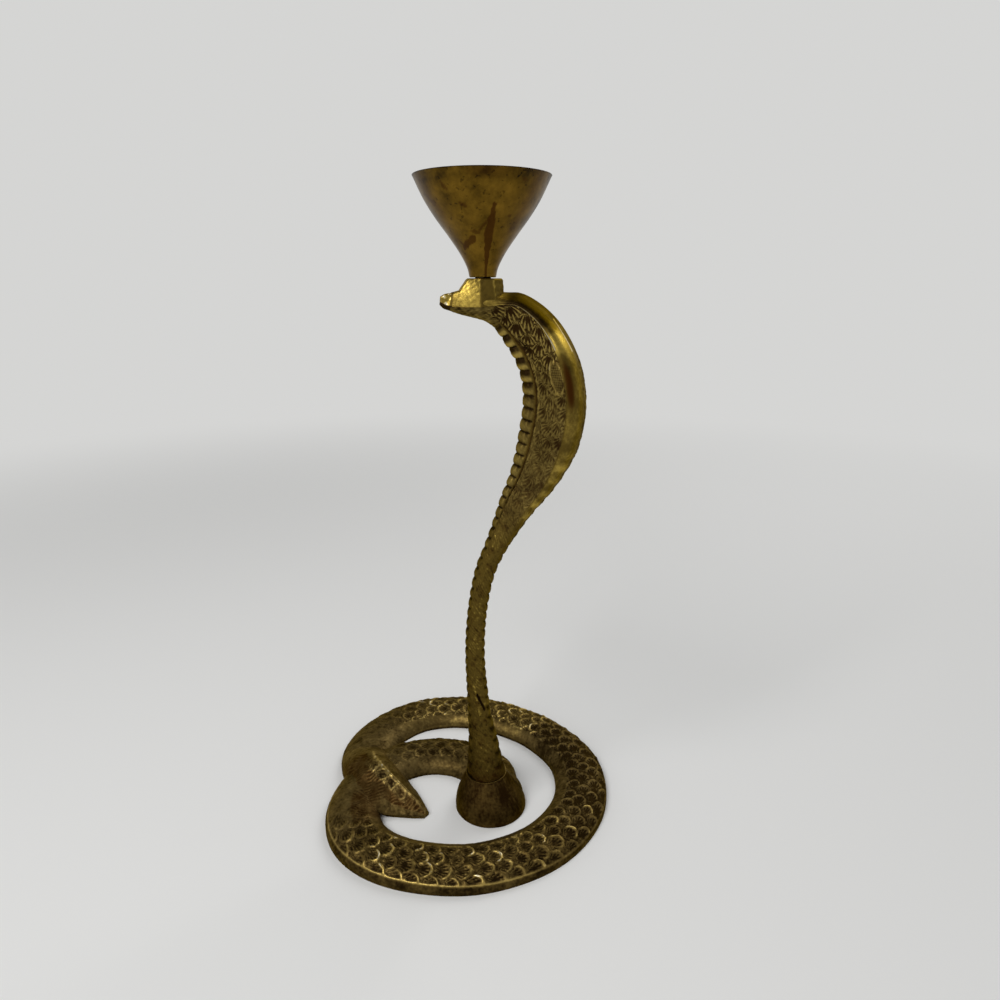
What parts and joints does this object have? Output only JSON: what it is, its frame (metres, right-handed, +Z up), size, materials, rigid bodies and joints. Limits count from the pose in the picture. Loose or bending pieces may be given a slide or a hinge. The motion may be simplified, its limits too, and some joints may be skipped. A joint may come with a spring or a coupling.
{
  "type": "cobra candle holder",
  "caption": "Cast brass candle holder: a hooded cobra rears from a flat scaled coil and carries a screw-on conical candle cup on its head.",
  "frame": {"origin": "on the table, under the middle of the object's footprint", "axes": "+Z up; the cobra faces -X and its plane of symmetry is parallel to XZ"},
  "size_m": [0.125, 0.1296, 0.2535],
  "materials": {
    "coil_brass": "dark patina, rubbed bright on the raised scale rims",
    "body_brass": "aged cast brass, polished on the hood's edge and the head",
    "cup_brass": "turned and polished, with a few tarnish spots",
    "stud_brass": "plain",
    "fixing_steel": "plain zinc-plated"
  },
  "bodies": {
    "holder": {"coiled_base": "coil_brass", "cobra_body": "body_brass", "base_screw": "fixing_steel", "screw_washer": "fixing_steel"},
    "stud": {"cup_stud": "stud_brass"},
    "cup": {"candle_cup": "cup_brass"}
  },
  "joints": [
    {"name": "cup_turn", "type": "hinge", "parent": "holder", "child": "stud", "pos_m": [0.00623, -0.01666, 0.2208], "axis": [0, 0, 1], "range_deg": [0, 1800]},
    {"name": "cup_lift", "type": "slide", "parent": "stud", "child": "cup", "axis": [0, 0, 1], "range_m": [0, 0.005]}
  ],
  "couplings": [
    {"joint": "cup_lift", "follows": "cup_turn", "m_per_rad": 0.00015915}
  ]
}
